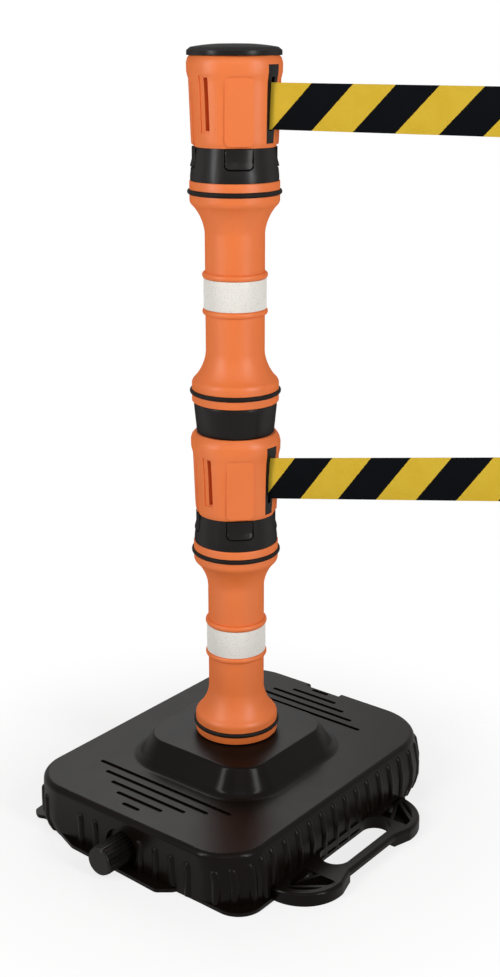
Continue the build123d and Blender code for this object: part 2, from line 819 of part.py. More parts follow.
def make_bridge_screws(foot):
    head_foot = bridge_foot + bridge_thickness
    screw = disc(screw_radius, head_foot - bridge_thickness - screw_length, head_foot)
    head = disc(screw_head_radius, head_foot, head_foot + screw_head_height)
    head -= disc(screw_recess, head_foot + screw_head_height / 2, head_foot + screw_head_height)
    placed = spokes(unit_boss_count, unit_turn, Pos(unit_boss_place, 0, 0) * (screw + head))
    return Pos(0, 0, foot) * Compound(children=placed)


def make_adaptor(foot):
    """Black cap on the lower unit, with the socket for the next post."""
    socket = spigot_radius + fit_clearance
    floor = adaptor_height - spigot_length - end_wall
    rim_foot = adaptor_height - adaptor_rim_height
    return Pos(0, 0, foot) * turned([
        (0, floor),
        (socket, floor),
        (socket, adaptor_height),
        (adaptor_top_radius, adaptor_height),
        (adaptor_top_radius, rim_foot),
        (adaptor_foot_radius, 0),
        (register_radius, 0),
        (register_radius, -register_depth),
        (register_radius - register_width, -register_depth),
        (register_radius - register_width, 0),
        (adaptor_foot_radius - adaptor_wall, 0),
        (adaptor_top_radius - adaptor_wall, rim_foot),
        (socket + socket_wall, rim_foot),
        (socket + socket_wall, floor - socket_wall),
        (0, floor - socket_wall),
    ])


def lid_dome(radius, height, foot):
    """Low dome with the section of half an ellipse, standing on a foot."""
    crown = EllipticalCenterArc((0, 0), radius, height, arc_size=90)
    section = make_face(crown + Polyline((0, height), (0, 0), (radius, 0)))
    return Pos(0, 0, foot) * revolve(Plane.XZ * section, axis=Axis.Z)


def make_lid(foot):
    hollow_radius = register_radius - register_width
    lid = disc(lid_radius, -lid_rim_drop, lid_rim_height)
    lid += lid_dome(lid_radius, lid_height - lid_rim_height, lid_rim_height)
    lid -= disc(lid_radius - lid_rim_wall, -lid_rim_drop, 0)
    lid -= disc(hollow_radius, 0, lid_rim_height)
    lid -= lid_dome(hollow_radius, lid_height - lid_rim_height - lid_wall, lid_rim_height)
    lid += hollow_disc(register_radius, hollow_radius, -register_depth, 0)
    return Pos(0, 0, foot) * lid


def make_parts():
    parts = {
        "base_tank": make_tank(),
        "base_tray": make_tray(),
        "filler_cap": make_filler_cap(),
        "filler_seal": make_filler_seal(),
    }
    stack = (
        ("lower", lower_post_foot, lower_collar_foot, lower_unit_foot),
        ("upper", upper_post_foot, upper_collar_foot, upper_unit_foot),
    )
    for name, post_foot, collar_foot, unit_foot in stack:
        parts[f"{name}_post"] = make_post(post_foot)
        parts[f"{name}_band"] = make_band(post_foot)
        parts[f"{name}_foot_ring"] = make_ring(post_foot + ring_offset)
        parts[f"{name}_head_ring"] = make_ring(post_foot + post_length - ring_offset)
        parts[f"{name}_collar"] = make_collar(collar_foot)
        for i in range(tab_count):
            parts[f"{name}_tab_{i + 1}"] = make_tab(collar_foot, i)
        parts[f"{name}_housing"] = make_housing(unit_foot)
        parts[f"{name}_spigot"] = make_spigot(unit_foot)
        parts[f"{name}_slot_bezel"] = make_bezel(unit_foot)
        parts[f"{name}_spindle"] = make_spindle(unit_foot)
        parts[f"{name}_spool"] = make_spool(unit_foot)
        parts[f"{name}_drum_cover"] = make_drum_cover(unit_foot)
        parts[f"{name}_power_spring"] = make_power_spring(unit_foot)
        parts[f"{name}_belt_roll"] = make_belt_roll(name, unit_foot)
        parts[f"{name}_belt"] = make_belt(name, unit_foot)
        parts[f"{name}_belt_clip"] = make_belt_clip(name, unit_foot)
        parts[f"{name}_bridge"] = make_bridge(unit_foot)
        parts[f"{name}_bridge_screws"] = make_bridge_screws(unit_foot)
    parts["adaptor"] = make_adaptor(adaptor_foot)
    parts["lid"] = make_lid(lid_foot)
    return parts


os.makedirs("parts", exist_ok=True)
for node, shape in make_parts().items():
    shape.label = node
    export_step(shape, os.path.join("parts", node + ".step"))
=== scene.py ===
# %% [markdown]
# # A retractable belt queue pole
#
# This lesson dresses the CAD model of a barrier pole: a black ballast base, two orange posts,
# two belt units and two striped belts. The CAD model is loaded as a fixed frame in metres.
# Each new piece takes its place from that frame and moves with one of its bodies.

# %% Load the frame
from math import cos, pi, radians, sin

import bmesh
import bpy
from mathutils import Matrix, Vector


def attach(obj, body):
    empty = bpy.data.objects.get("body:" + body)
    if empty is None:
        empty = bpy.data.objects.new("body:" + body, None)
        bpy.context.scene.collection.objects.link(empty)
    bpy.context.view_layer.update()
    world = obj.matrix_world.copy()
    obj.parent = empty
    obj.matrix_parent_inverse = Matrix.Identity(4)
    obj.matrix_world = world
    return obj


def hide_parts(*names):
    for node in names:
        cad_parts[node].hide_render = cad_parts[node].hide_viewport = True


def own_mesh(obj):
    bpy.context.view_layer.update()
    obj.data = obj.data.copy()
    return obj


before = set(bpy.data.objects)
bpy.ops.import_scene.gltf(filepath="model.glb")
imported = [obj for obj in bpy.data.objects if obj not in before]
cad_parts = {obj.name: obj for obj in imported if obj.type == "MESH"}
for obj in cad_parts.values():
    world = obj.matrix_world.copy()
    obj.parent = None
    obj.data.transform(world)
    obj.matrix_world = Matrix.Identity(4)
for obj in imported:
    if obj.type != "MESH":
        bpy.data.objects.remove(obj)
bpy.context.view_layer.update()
MM = 0.001

# %% [markdown]
# ## The camera
#
# The photograph was taken from the corner of the base between the filler cap and the handle,
# a little below the top of the pole. The place and the lens come from a fit to the base's
# edges and the pole's rings, so the camera needs no shift.

# %% Camera
camera = bpy.data.objects.new("photo_camera", bpy.data.cameras.new("photo_camera"))
bpy.context.collection.objects.link(camera)
camera.data.sensor_width = 36.0
camera.data.lens = 51.757
camera.location = (-1.2132, -0.9806, 0.9154)
sight = Vector((0.7456, 0.5896, -0.3105))
camera.rotation_euler = sight.to_track_quat("-Z", "Y").to_euler()
bpy.context.scene.camera = camera
print("camera looks along", tuple(round(c, 3) for c in sight))

# %% [markdown]
# ## Helpers for pieces
#
# Every piece is a mesh made with bmesh operators. `make_piece` closes seams, points the faces
# outwards, shades smooth across gentle edges and lets the piece ride on its CAD body.

# %% Turn a bmesh into a piece that rides on a body
def make_piece(name, bm, body, replaced=(), crease=38.0):
    bmesh.ops.remove_doubles(bm, verts=bm.verts, dist=1e-6)
    bmesh.ops.recalc_face_normals(bm, faces=bm.faces)
    mesh = bpy.data.meshes.new(name)
    bm.to_mesh(mesh)
    bm.free()
    mesh.shade_smooth()
    mesh.set_sharp_from_angle(angle=radians(crease))
    piece = bpy.data.objects.new(name, mesh)
    bpy.context.collection.objects.link(piece)
    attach(piece, body)
    if replaced:
        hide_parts(*replaced)
    return piece


# %% [markdown]
# ## The belts
#
# The webbing comes round the roll inside the unit, bends behind the slot and runs out, pulled
# tight by a clip that hangs on the next pole, outside the picture. Its line is a smooth spline
# through a few points; a flat strip is then drawn along the points read from that spline.
# The strip has its own UV map in metres, so the stripes follow the cloth.

# %% Line of each belt
BELT_WIDTH = 48 * MM
BELT_THICKNESS = 1.0 * MM
BELT_STRETCH = 325 * MM
CLIP_GAP = 0.3 * MM
BELT_RISE = {"lower": radians(7.8), "upper": 0.0}
BELT_TURN = radians(12)
BELT_MIDDLE = {"lower": 426.8 * MM, "upper": 839.0 * MM}
STRIPE_START = {"lower": -1.0 * MM, "upper": 10.0 * MM}
BELT_BEND = Vector((-1.6, -41.0)) * MM  # in plan, where the belt leaves its bend behind the slot


def belt_direction(level):
    rise = BELT_RISE[level]
    return Vector((sin(BELT_TURN) * cos(rise), -cos(BELT_TURN) * cos(rise), sin(rise)))


def belt_start(level):
    return Vector((*BELT_BEND, BELT_MIDDLE[level]))


def belt_frame(level):
    """Direction of the belt, its upward direction, and the turn from plain axes to its own."""
    along = belt_direction(level)
    across = along.cross(Vector((0, 0, 1))).normalized()
    up = across.cross(along).normalized()
    return along, up, Matrix((along, across, up)).transposed().to_4x4()


def belt_line(level):
    """Points of the smooth line from the bend behind the slot to the clip."""
    start = belt_start(level)
    along = belt_direction(level)
    length = BELT_STRETCH - CLIP_GAP
    curve = bpy.data.curves.new(level + "_belt_line", "CURVE")
    curve.dimensions = "3D"
    curve.resolution_u = 24
    spline = curve.splines.new("NURBS")
    spline.points.add(3)
    for point, share in zip(spline.points, (0.0, 0.2, 0.8, 1.0)):
        point.co = (*(start + along * length * share), 1.0)
    spline.order_u = 3
    spline.use_endpoint_u = True
    holder = bpy.data.objects.new(level + "_belt_line", curve)
    traced = bpy.data.meshes.new_from_object(holder)
    points = [v.co.copy() for v in traced.vertices]
    bpy.data.objects.remove(holder)
    bpy.data.meshes.remove(traced)
    bpy.data.curves.remove(curve)
    return points


belt_lines = {level: belt_line(level) for level in ("lower", "upper")}
print("belt lines of", len(belt_lines["lower"]), "points")

# %% [markdown]
# A flat strip is easiest as a thin rectangle whose four edges are extruded from point to point,
# with the two open ends filled at last. The long edges of woven webbing are soft, so they are
# rounded, and the UV map is laid along the length and across the width of the strip.

# %% Belts
def make_belt(level):
    points = belt_lines[level]
    along, up, turn = belt_frame(level)
    bm = bmesh.new()
    bmesh.ops.create_grid(bm, x_segments=1, y_segments=1, size=0.5)
    bmesh.ops.scale(bm, vec=(BELT_THICKNESS, BELT_WIDTH, 1), verts=bm.verts)
    upright = Matrix(((0, 0, 1), (1, 0, 0), (0, 1, 0)))
    bmesh.ops.rotate(bm, cent=(0, 0, 0), matrix=upright, verts=bm.verts)
    bmesh.ops.transform(bm, matrix=Matrix.Translation(points[0]) @ turn, verts=bm.verts)
    rim = bm.edges[:]
    bmesh.ops.delete(bm, geom=bm.faces[:], context="FACES_ONLY")
    for last, point in zip(points, points[1:]):
        made = bmesh.ops.extrude_edge_only(bm, edges=rim)["geom"]
        rim = [g for g in made if isinstance(g, bmesh.types.BMEdge)]
        ends = [g for g in made if isinstance(g, bmesh.types.BMVert)]
        bmesh.ops.translate(bm, vec=point - last, verts=ends)
    bmesh.ops.holes_fill(bm, edges=bm.edges, sides=4)
    long_edges = [e for e in bm.edges
                  if abs((e.verts[0].co - e.verts[1].co).normalized().dot(along)) > 0.99]
    bmesh.ops.bevel(bm, geom=long_edges, offset=0.35 * MM, affect="EDGES", segments=2, profile=0.5,
                    material=-1)
    uv = bm.loops.layers.uv.new("webbing")
    for face in bm.faces:
        for loop in face.loops:
            offset = loop.vert.co - points[0]
            loop[uv].uv = (offset.dot(along) - STRIPE_START[level], offset.dot(up) + BELT_WIDTH / 2)
    return make_piece(level + "_webbing", bm, level + "_unit", [level + "_belt"])


belts = {level: make_belt(level) for level in ("lower", "upper")}
print({name: len(piece.data.polygons) for name, piece in belts.items()})

# %% [markdown]
# ## The belt clips
#
# The clip on a belt's end is a moulded grip with a thin nose that snaps into a receiver slot.
# A block with rounded edges is enough for the grip; its two cheeks are inset and pressed in,
# and three ridges across each cheek give the fingers a hold.

# %% Clips
CLIP_SIZE = Vector((24, 11, 58)) * MM
CLIP_NOSE = Vector((8, 3.8, 50)) * MM
RIDGE_SIZE = Vector((2.2, 1.6, 44)) * MM
RIDGE_PITCH, RIDGE_SUNK = 4.6 * MM, 0.6 * MM


def add_block(bm, size, centre, rounding, segments=3):
    made = bmesh.ops.create_cube(bm, size=1.0)["verts"]
    bmesh.ops.scale(bm, vec=size, verts=made)
    bmesh.ops.translate(bm, vec=centre, verts=made)
    edges = list({e for v in made for e in v.link_edges})
    bmesh.ops.bevel(bm, geom=edges, offset=rounding, affect="EDGES", segments=segments, profile=0.5,
                    material=-1)


def make_clip(level):
    along, _, turn = belt_frame(level)
    bm = bmesh.new()
    add_block(bm, CLIP_SIZE, (CLIP_SIZE.x / 2, 0, 0), 2.4 * MM)
    cheeks = [f for f in bm.faces if abs(f.normal.y) > 0.99 and f.calc_area() > 2e-4]
    bmesh.ops.inset_individual(bm, faces=cheeks, thickness=1.6 * MM, depth=-0.8 * MM)
    for side in (-1, 1):
        for step in (-1, 0, 1):
            place = (CLIP_SIZE.x / 2 + step * RIDGE_PITCH, side * (CLIP_SIZE.y / 2 - RIDGE_SUNK), 0)
            add_block(bm, RIDGE_SIZE, place, 0.6 * MM, 2)
    add_block(bm, CLIP_NOSE, (CLIP_SIZE.x + CLIP_NOSE.x / 2 - 0.05 * MM, 0, 0), 0.6 * MM, 2)
    back = belt_start(level) + along * BELT_STRETCH
    bmesh.ops.transform(bm, matrix=Matrix.Translation(back) @ turn, verts=bm.verts)
    return make_piece(level + "_clip", bm, level + "_belt_end", [level + "_belt_clip"])


clips = {level: make_clip(level) for level in ("lower", "upper")}
for level, belt in belts.items():
    along = belt_direction(level)
    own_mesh(belt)
print("belts end in", [clip.name for clip in clips.values()])

# %% [markdown]
# ## Turned pieces
#
# Posts, rings, bands, the adaptor and the lid are all round, so each is a half outline that is
# spun about the pole's axis, as on a lathe. The outline has only its corners; the beads, the
# bell of the flare and the softened rims come from rounding a corner with a bevel.

# %% Lathe
def lathe(name, outline, foot, body, replaced, steps=112, closed=True):
    """outline holds (radius, height, rounding) in millimetres, in order round the section."""
    bm = bmesh.new()
    corners = [bm.verts.new((r * MM, 0, (foot + z) * MM)) for r, z, _ in outline]
    for a, b in zip(corners, corners[1:]):
        bm.edges.new((a, b))
    if closed:
        bm.edges.new((corners[-1], corners[0]))
    for corner, (_, _, rounding) in zip(corners, outline):
        if rounding:
            segments = 3 if rounding < 1.5 else 8 if rounding < 8 else 18
            bmesh.ops.bevel(bm, geom=[corner], offset=rounding * MM, affect="VERTICES",
                            segments=segments, profile=0.5, material=-1)
    bmesh.ops.spin(bm, geom=bm.verts[:] + bm.edges[:], cent=(0, 0, 0), axis=(0, 0, 1),
                   angle=2 * pi, steps=steps, use_merge=True)
    return make_piece(name, bm, body, replaced)


LOWER_POST, UPPER_POST = 97.3, 512.9
POST_FEET = {"lower": LOWER_POST, "upper": UPPER_POST}
FLANGE, WAIST, POST = 49.7, 33.4, 247.0
lower_half = [
    (24, -32, 0.8), (28, -32, 0.8), (28, 0, 0), (FLANGE, 0, 1.2), (FLANGE, 24, 3.2), (WAIST, 39.5, 19),
    (WAIST, 99.5, 0), (36.7, 99.5, 3.2), (36.7, 106.5, 3.2), (33.9, 106.5, 0),
]
upper_half = [(r, POST - z, rounding) for r, z, rounding in reversed(lower_half[3:])]
post_inside = [(30, POST, 0.8), (30, 243, 0), (30, 190, 0), (24, 60, 0)]
posts = [lathe(f"{level}_post_shell", lower_half + upper_half + post_inside, foot, f"{level}_post_section",
               [f"{level}_post"]) for level, foot in POST_FEET.items()]
print("posts of", len(posts[0].data.polygons), "faces each")

# %% [markdown]
# The rubber rings sit in grooves round the flanges and keep a stack of poles from chafing.
# The white band is a strip of reflective film on a seat between the two beads.

# %% Rings and bands
RING_HALF, RING_OFFSET = 2.8, 12.0
rings, bands = [], []
for level, foot in POST_FEET.items():
    for end, height in (("foot", RING_OFFSET), ("head", POST - RING_OFFSET)):
        low, high = height - RING_HALF, height + RING_HALF
        section = [(46.5, low, 1.2), (52.1, low, 2.6), (52.1, high, 2.6), (46.5, high, 1.2)]
        rings.append(lathe(f"{level}_{end}_bumper", section, foot, f"{level}_post_section",
                           [f"{level}_{end}_ring"]))
    section = [(34.0, 106.6, 0), (35.3, 106.6, 0.5), (35.3, 140.4, 0.5), (34.0, 140.4, 0)]
    bands.append(lathe(f"{level}_reflector", section, foot, f"{level}_post_section",
                       [f"{level}_band"]))
print(len(rings), "rings and", len(bands), "bands")

# %% [markdown]
# The lower unit is closed by a black adaptor that takes the next post, and the upper one by a
# low domed lid. The lid's dome comes from two corners of the outline with large roundings.

# %% Adaptor and lid
adaptor = lathe("adaptor_shell", [
    (0, 0, 0), (28.3, 0, 0), (28.3, 36, 0.8), (47.5, 36, 1.4), (47.5, 31, 1.0), (44.4, 0, 0.5),
    (42.3, 0, 0), (42.3, -5, 0.4), (39, -5, 0.4), (39, 0, 0), (40.8, 0, 0), (43.9, 31, 0),
    (31.8, 31, 0), (31.8, -3.5, 0), (0, -3.5, 0)], 476.6, "lower_unit", ["adaptor"], closed=False)
lid = lathe("lid_shell", [
    (0, 9.6, 0), (31.0, 9.2, 16.0), (47.5, 6.0, 6.0), (51.2, 2.7, 1.2), (51.2, -2.2, 0.5),
    (49.8, -2.2, 0.3), (49.8, 0, 0), (42.3, 0, 0), (42.3, -5, 0.4), (39, -5, 0.4), (39, 2.6, 0),
    (0, 7.0, 0)], 892.2, "upper_unit", ["lid"], closed=False)
print("lid rises to", round(max(v.co.z for v in lid.data.vertices), 4), "m")

# %% [markdown]
# ## Moulded pieces from the CAD shapes
#
# Housings, collars, press tabs, slot bezels, the filler cap, the tank and its tray already have
# the right form in CAD, but every edge there is knife sharp. No moulded edge is: a copy is merged
# into whole faces and its sharp edges get a small radius, which is what catches the light.

# %% Softened copies
def soften(node, body, radius, segments=2, edge_angle=28.0):
    bm = bmesh.new()
    bm.from_mesh(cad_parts[node].data)
    bmesh.ops.remove_doubles(bm, verts=bm.verts, dist=1e-5)
    bmesh.ops.dissolve_limit(bm, angle_limit=radians(0.5), verts=bm.verts, edges=bm.edges)
    sharp = [e for e in bm.edges if e.is_manifold and e.calc_face_angle() > radians(edge_angle)]
    bmesh.ops.bevel(bm, geom=sharp, offset=radius * MM, affect="EDGES", segments=segments, profile=0.5,
                    material=-1, clamp_overlap=True)
    piece = make_piece(node + "_moulding", bm, body, [node])
    weighted = piece.modifiers.new("flat faces stay flat", "WEIGHTED_NORMAL")
    weighted.keep_sharp = True
    return piece


orange_mouldings, black_mouldings = [], []
for level in ("lower", "upper"):
    orange_mouldings.append(soften(f"{level}_housing", f"{level}_unit", 0.5))
    black_mouldings.append(soften(f"{level}_slot_bezel", f"{level}_unit", 0.4))
    black_mouldings.append(soften(f"{level}_collar", f"{level}_post_section", 0.7, 3))
    for i in range(1, 5):
        tab = soften(f"{level}_tab_{i}", f"{level}_press_tab_{i}", 0.8, 3)
        black_mouldings.append(tab)
filler_cap = soften("filler_cap", "cap", 0.35)
tank = soften("base_tank", "base", 0.7)
tray = soften("base_tray", "base", 0.7)
print(len(orange_mouldings) + len(black_mouldings) + 3, "softened mouldings")

# %% [markdown]
# ## Ribs of the skirt
#
# Upright half-round ribs stiffen the skirt of the tank, 23.5 mm apart, with domed tops under the
# plate's edge. The skirt leans, so a rib can't be a straight bar: it starts as a circle on the
# floor that is extruded from level to level, and each new ring moves with the skirt. Two last
# rings shrink to make the dome. On the far side the ribs are the outermost thing, so there the
# tank's copy is drawn in a little between them and the size stays as it is.

# %% Plan of the skirt
RIB_PITCH, RIB_RADIUS, RIB_DEPTH = 23.5, 6.4, 3.6
PLATE = Vector((414.0, 321.0)) / 2
NEAR_CORNER, FAR_CORNER = 56.0, 74.0
FAR_DRAW_IN = 3.0
# height, share of the stand-out, tuck of the far and back sides
SKIRT_LEVELS = ((0.0, 1.0, 14.0), (6.6, 1.0, 6.0), (16.5, 1.0, 0.0), (33.0, 1.0, 0.0), (52.8, 0.5, 0.0),
                (66.0, 0.0, 0.0))
STAND_OUT = {"left": -3.0, "right": 4.0 - FAR_DRAW_IN, "front": 8.0, "back": 5.0}
OUTWARD = {"left": Vector((-1, 0)), "right": Vector((1, 0)), "front": Vector((0, -1)),
           "back": Vector((0, 1))}
NOTCH_MIDDLE, NOTCH_HALF, NOTCH_FLOOR, PLATE_EDGE = 9.5 * MM, 32 * MM, 203 * MM, 54 * MM


def skirt_shift(sides, z):
    """How far the skirt lies outside the plate's edge at a height, as a plan vector."""
    shift = Vector((0, 0))
    for (z0, share0, tuck0), (z1, share1, tuck1) in zip(SKIRT_LEVELS, SKIRT_LEVELS[1:]):
        if z0 <= z <= z1:
            part = (z - z0) / (z1 - z0)
            break
    for side in sides:
        tuck = tuck0 + part * (tuck1 - tuck0) if side in ("right", "back") else 0.0
        shift += OUTWARD[side] * (STAND_OUT[side] * (share0 + part * (share1 - share0)) - tuck)
    return shift


far_end = bmesh.new()
far_end.from_mesh(tank.data)
hinge = PLATE.x - FAR_CORNER
notch = {v for v in far_end.verts
         if abs(v.co.y - NOTCH_MIDDLE) < NOTCH_HALF and v.co.x < NOTCH_FLOOR}
drawn = {v for v in far_end.verts if v.co.x > hinge * MM and v.co.z < PLATE_EDGE} - notch
bmesh.ops.scale(far_end, vec=(1 - FAR_DRAW_IN / (FAR_CORNER + 4.0), 1, 1), verts=list(drawn),
                space=Matrix.Translation((-hinge * MM, 0, 0)))
far_end.to_mesh(tank.data)
far_end.free()
print(len(drawn), "points of the far skirt drawn in")


# %% Ribs
def add_rib(ribs, point, outward, sides, top, low=2.0):
    """point is the rib's place on the plate's edge, in plan, and outward its direction there."""
    dome = 0.8 * RIB_RADIUS
    levels = [(low, 1.0)] + [(z, 1.0) for z, _, _ in SKIRT_LEVELS if low < z < top - dome]
    levels += [(top - dome, 1.0), (top - 0.4 * dome, 0.8), (top - 0.06 * dome, 0.36)]
    rib = bmesh.new()
    bmesh.ops.create_circle(rib, cap_ends=True, segments=12, radius=RIB_RADIUS * MM)
    ring, last = rib.edges[:], Vector((0, 0, 0))
    for step, (z, width) in enumerate(levels):
        if step:
            made = bmesh.ops.extrude_edge_only(rib, edges=ring)["geom"]
            ring = [g for g in made if isinstance(g, bmesh.types.BMEdge)]
        verts = list({v for e in ring for v in e.verts})
        plan = point + skirt_shift(sides, z) - outward * RIB_DEPTH
        centre = Vector((*plan, z)) * MM
        bmesh.ops.translate(rib, vec=centre - last, verts=verts)
        if step and width < levels[step - 1][1]:
            shrink = width / levels[step - 1][1]
            bmesh.ops.scale(rib, vec=(shrink, shrink, 1), verts=verts, space=Matrix.Translation(-centre))
        last = centre
    bmesh.ops.holes_fill(rib, edges=ring, sides=12)
    bmesh.ops.recalc_face_normals(rib, faces=rib.faces)
    loose = bpy.data.meshes.new("rib")
    rib.to_mesh(loose)
    rib.free()
    ribs.from_mesh(loose)
    bpy.data.meshes.remove(loose)


RIB_TOP = {"left": 46.0, "front": 61.0, "right": 58.0, "back": 58.0}
STRAIGHT_RIBS = {
    "left": (-4, -3, -2, -1, 2, 3), "front": range(-6, 6), "right": (-3, -2, 2), "back": range(-6, 6),
}
# sides that meet at a corner, its plan radius and the angles of its ribs
CORNER_RIBS = (
    (("left", "front"), NEAR_CORNER, (200.5, 222.5, 244.0, 261.0)),
    (("front", "right"), FAR_CORNER, (276.0, 293.0, 310.5, 328.0, 345.0)),
    (("right", "back"), FAR_CORNER, (15.0, 32.0, 49.5, 67.0, 84.0)),
    (("back", "left"), NEAR_CORNER, (99.0, 118.0, 137.0, 156.0)),
)
ribs = bmesh.new()
for side, steps in STRAIGHT_RIBS.items():
    for i in steps:
        along = i * RIB_PITCH
        outward = OUTWARD[side]
        if outward.y:
            point = Vector((along, outward.y * PLATE.y))
        else:
            point = Vector((outward.x * PLATE.x, along))
        add_rib(ribs, point, outward, [side], RIB_TOP[side])
for sides, radius, angles in CORNER_RIBS:
    corner = Vector([sum(OUTWARD[side][k] for side in sides) * (PLATE[k] - radius) for k in (0, 1)])
    for i, angle in enumerate(angles):
        outward = Vector((cos(radians(angle)), sin(radians(angle))))
        part = (i + 0.5) / len(angles)
        top = RIB_TOP[sides[0]] + part * (RIB_TOP[sides[1]] - RIB_TOP[sides[0]])
        add_rib(ribs, corner + outward * radius, outward, sides, top)
skirt_ribs = make_piece("skirt_ribs", ribs, "base", crease=60.0)
print("skirt ribs of", len(skirt_ribs.data.polygons), "faces")

# %% [markdown]
# ## Helpers for materials
#
# Colours are written as sRGB hex values and turned to linear light once. `add` puts one node
# in a material: keyword settings are the node's own, and `inputs` are values or sockets.
# `set_inputs` fills the inputs of a node that is there already.

# %% Colour and node helpers
def linear(code):
    parts = [int(code[i:i + 2], 16) / 255 for i in (1, 3, 5)]
    return tuple(c / 12.92 if c <= 0.04045 else ((c + 0.055) / 1.055) ** 2.4 for c in parts) + (1.0,)


def set_inputs(tree, node, inputs):
    for key, value in inputs.items():
        if isinstance(value, bpy.types.NodeSocket):
            tree.links.new(value, node.inputs[key])
        else:
            node.inputs[key].default_value = value


def add(tree, kind, inputs=None, **settings):
    node = tree.nodes.new(kind)
    for key, value in settings.items():
        setattr(node, key, value)
    set_inputs(tree, node, inputs or {})
    return node


def new_material(name):
    material = bpy.data.materials.new(name)
    material.use_nodes = True
    tree = material.node_tree
    tree.nodes.clear()
    shader = add(tree, "ShaderNodeBsdfPrincipled")
    add(tree, "ShaderNodeOutputMaterial", {"Surface": shader.outputs[0]})
    return material, tree, shader


def per_metre(size_mm):
    """Scale of a texture whose features are that many millimetres across."""
    return 1000.0 / size_mm


def noise(tree, place, size_mm, detail):
    return add(tree, "ShaderNodeTexNoise", {"Vector": place, "Scale": per_metre(size_mm), "Detail": detail})


def blend(tree, share, first, second):
    return add(tree, "ShaderNodeMix", {0: share, 6: first, 7: second}, data_type="RGBA")


# %% [markdown]
# ## Moulded plastics
#
# Orange polypropylene, black ABS and the blow-moulded polyethylene of the tank share one recipe:
# a faint cloudiness in the colour, a gloss that varies from place to place, and the fine
# spark-eroded grain that a mould leaves. Real grain is about 0.3 mm and would not show, so it
# is drawn about 1.4 mm wide. Grained plastic is duller at a glancing angle, so `haze` makes the
# surface rougher where it turns away from the eye.

# %% Moulded plastic
def moulded_plastic(name, deep, pale, gloss, cloud_mm, grain_mm, grain_depth, ior=1.49, shine=0.25,
                    haze=0.0):
    material, tree, shader = new_material(name)
    place = add(tree, "ShaderNodeTexCoord").outputs["Object"]
    cloud = noise(tree, place, cloud_mm, 3.0)
    colour = blend(tree, cloud.outputs[0], linear(deep), linear(pale))
    worn = noise(tree, place, cloud_mm / 3, 4.0)
    rough = add(tree, "ShaderNodeMapRange", {0: worn.outputs[0], 1: 0.3, 2: 0.7, 3: gloss[0], 4: gloss[1]})
    glance = add(tree, "ShaderNodeLayerWeight", {"Blend": 0.5})
    veil = add(tree, "ShaderNodeMapRange", {0: glance.outputs["Facing"], 1: 0.25, 2: 0.8, 3: 0.0, 4: haze})
    rough = add(tree, "ShaderNodeMath", {0: rough.outputs[0], 1: veil.outputs[0]}, operation="ADD",
                use_clamp=True)
    grain = noise(tree, place, grain_mm, 2.0)
    bump = add(tree, "ShaderNodeBump", {"Height": grain.outputs[0], "Distance": grain_depth * MM,
                                        "Strength": 0.6})
    set_inputs(tree, shader, {"Base Color": colour.outputs[2], "Roughness": rough.outputs[0],
                              "Normal": bump.outputs[0], "IOR": ior, "Specular IOR Level": shine})
    return material


orange_plastic = moulded_plastic("orange_polypropylene_moulded", "#E06E2C", "#E87838",
    (0.42, 0.50), 60.0, 1.4, 0.05, 1.49, 0.55, 0.55)
black_plastic = moulded_plastic("black_abs_moulded", "#080504", "#0D0907",
    (0.27, 0.33), 45.0, 1.4, 0.05, 1.53, 0.18, 0.75)
tank_plastic = moulded_plastic("black_polyethylene_blow_moulded", "#0B0705", "#110B08",
    (0.20, 0.23), 90.0, 1.8, 0.06, 1.51, 0.08, 0.30)
inner_plastic = moulded_plastic("grey_nylon_moulded", "#55565A", "#606166", (0.4, 0.5), 30.0, 1.2, 0.04)
rubber = moulded_plastic("black_rubber_moulded", "#120E0B", "#191411",
    (0.45, 0.62), 20.0, 1.2, 0.06, 1.52, 0.12, 0.35)
print("moulded plastics:", orange_plastic.name, black_plastic.name, tank_plastic.name)

# %% [markdown]
# ## Reflective film
#
# The white band is retroreflective sheeting: clear film over a pale layer of tiny cells. From
# most sides it looks like a clean white, with a faint honeycomb and a clear glossy face.

# %% Reflective film
reflective_film, tree, shader = new_material("white_reflective_film")
place = add(tree, "ShaderNodeTexCoord").outputs["Object"]
cells = add(tree, "ShaderNodeTexVoronoi", {"Vector": place, "Scale": per_metre(3.2)},
            feature="DISTANCE_TO_EDGE")
wall = add(tree, "ShaderNodeMapRange", {0: cells.outputs[0], 1: 0.02, 2: 0.08, 3: 0.0, 4: 1.0})
tone = blend(tree, wall.outputs[0], linear("#DAD7CF"), linear("#E8E5DE"))
dust = noise(tree, place, 12.0, 3.0)
rough = add(tree, "ShaderNodeMapRange", {0: dust.outputs[0], 1: 0.3, 2: 0.7, 3: 0.35, 4: 0.55})
dimple = add(tree, "ShaderNodeBump", {"Height": wall.outputs[0], "Distance": 0.03 * MM, "Strength": 0.4})
set_inputs(tree, shader, {"Base Color": tone.outputs[2], "Roughness": rough.outputs[0],
                          "Normal": dimple.outputs[0], "Specular IOR Level": 0.2, "Coat Weight": 0.1,
                          "Coat Roughness": 0.2})
print("film:", reflective_film.name)

# %% [markdown]
# ## Webbing
#
# The belt is a flat polyester weave, printed with slanting black stripes on yellow. Stripes and
# threads both read the belt's own UV map, which is in metres. The threads of real webbing are
# about 0.6 mm apart and would not show, so the weave is drawn at 2 mm.

